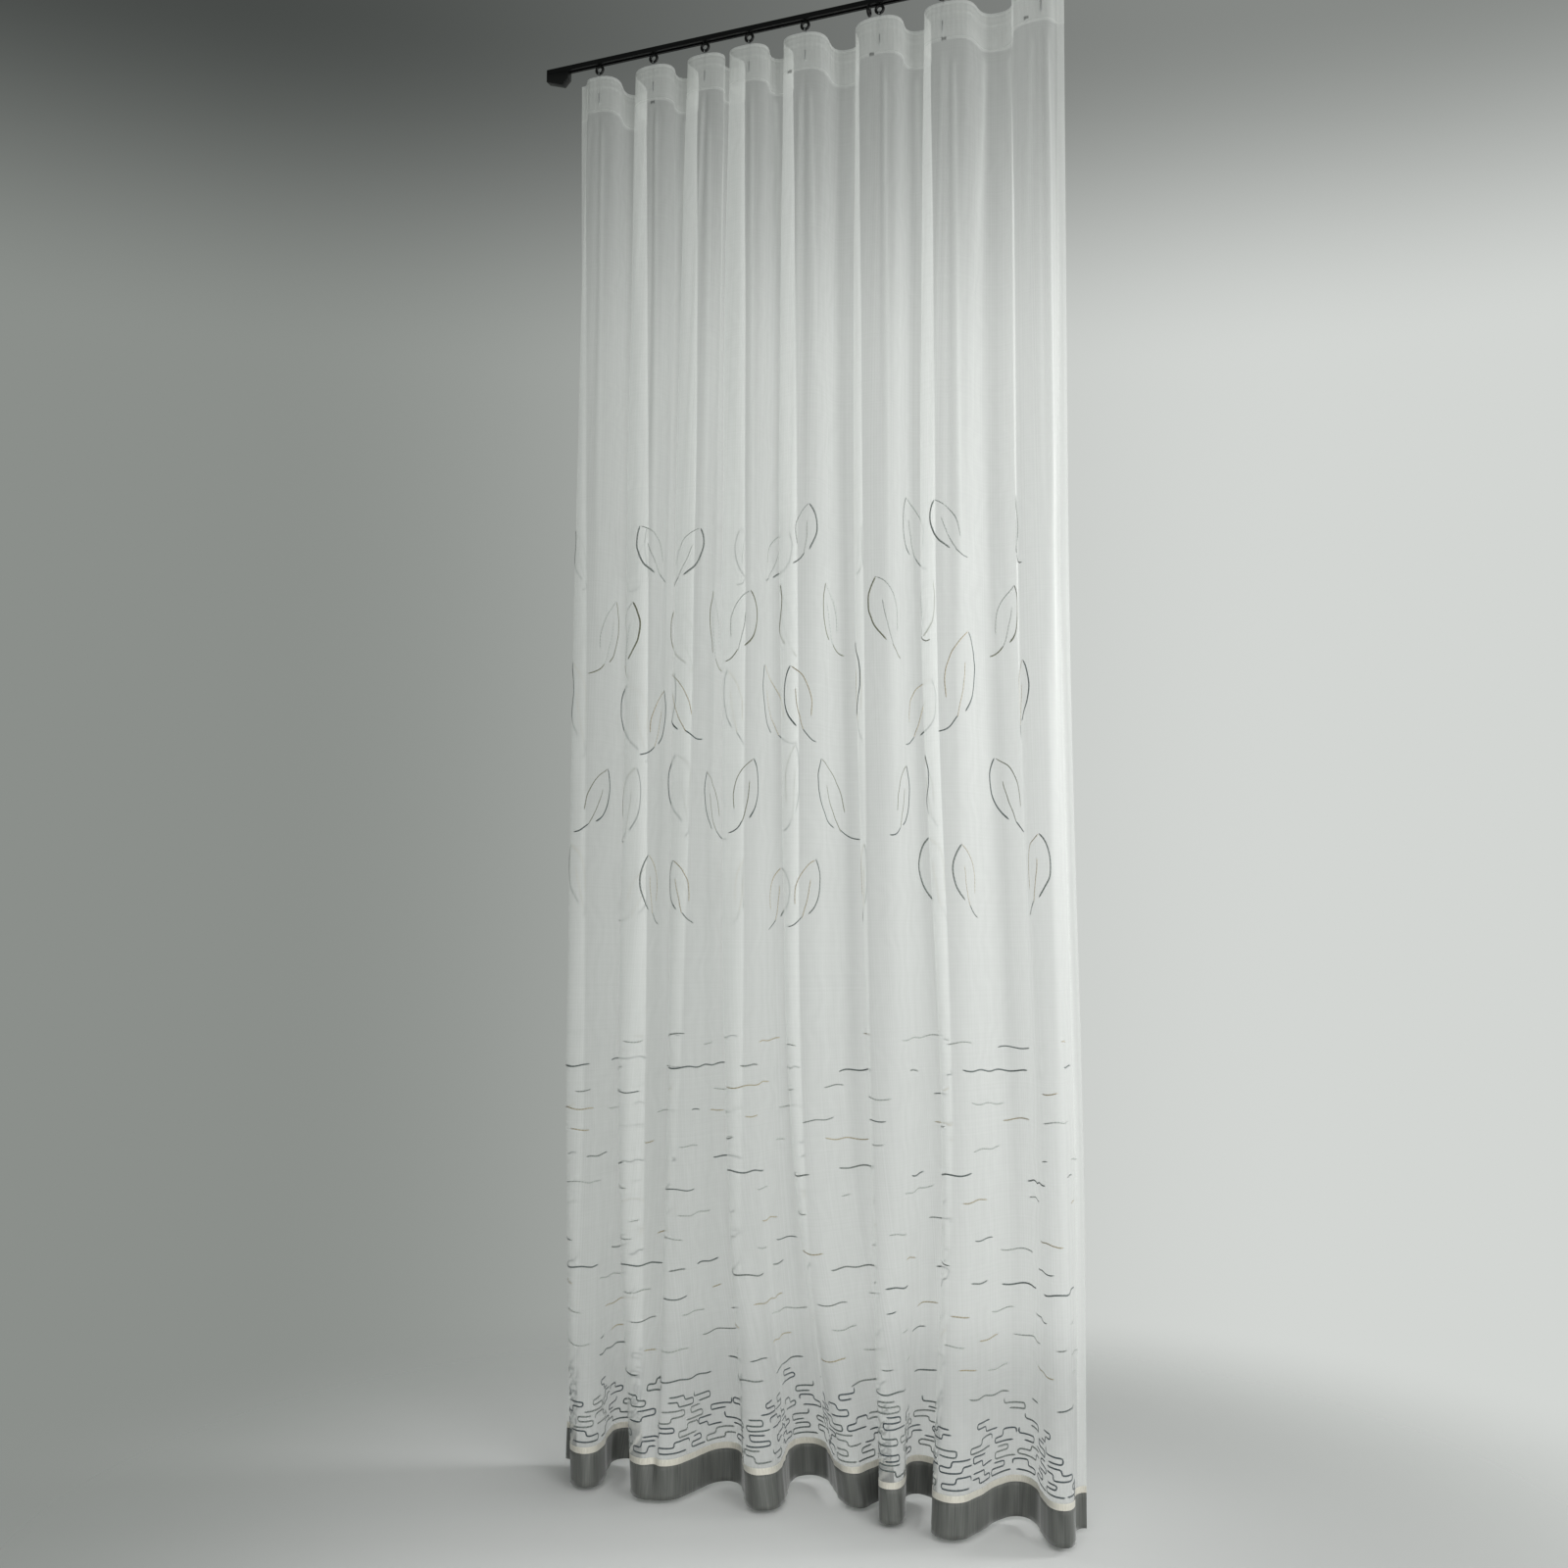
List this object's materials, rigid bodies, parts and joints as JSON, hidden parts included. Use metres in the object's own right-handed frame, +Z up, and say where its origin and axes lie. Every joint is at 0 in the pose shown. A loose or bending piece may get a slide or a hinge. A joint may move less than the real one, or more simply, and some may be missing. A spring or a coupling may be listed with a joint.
{
  "type": "sheer voile curtain on a ceiling track",
  "caption": "Sheer white voile curtain with deep uneven folds and a grey hem band, hooked to gliders on a slim black ceiling track with end stops.",
  "frame": {"origin": "centre of the track's top face, where it lies against the ceiling", "axes": "+X along the track to the right, seen from the front; the curtain's face looks towards -Y; +Z up"},
  "size_m": [1.0686, 0.2271, 2.6],
  "materials": {
    "track_black": "satin black powder coat",
    "plastic_black": "moulded, slight sheen",
    "hook_steel": "bright wire",
    "voile": "fine sheer plain weave with embroidered sprigs, dashes and a key-like border",
    "tape": "translucent woven heading tape",
    "band_grey": "close plain weave, soft sheen"
  },
  "bodies": {
    "root": {"track": "track_black", "end_cap_left": "plastic_black", "end_cap_right": "plastic_black", "glider_1": "plastic_black", "glider_2": "plastic_black", "glider_3": "plastic_black", "glider_4": "plastic_black", "glider_5": "plastic_black", "glider_spare": "plastic_black", "glider_6": "plastic_black", "glider_7": "plastic_black", "glider_8": "plastic_black", "hook_1": "hook_steel", "hook_2": "hook_steel", "hook_3": "hook_steel", "hook_4": "hook_steel", "hook_5": "hook_steel", "hook_6": "hook_steel", "hook_7": "hook_steel", "hook_8": "hook_steel", "voile_panel": "voile", "heading_tape": "tape", "hem_band": "band_grey"}
  },
  "joints": []
}
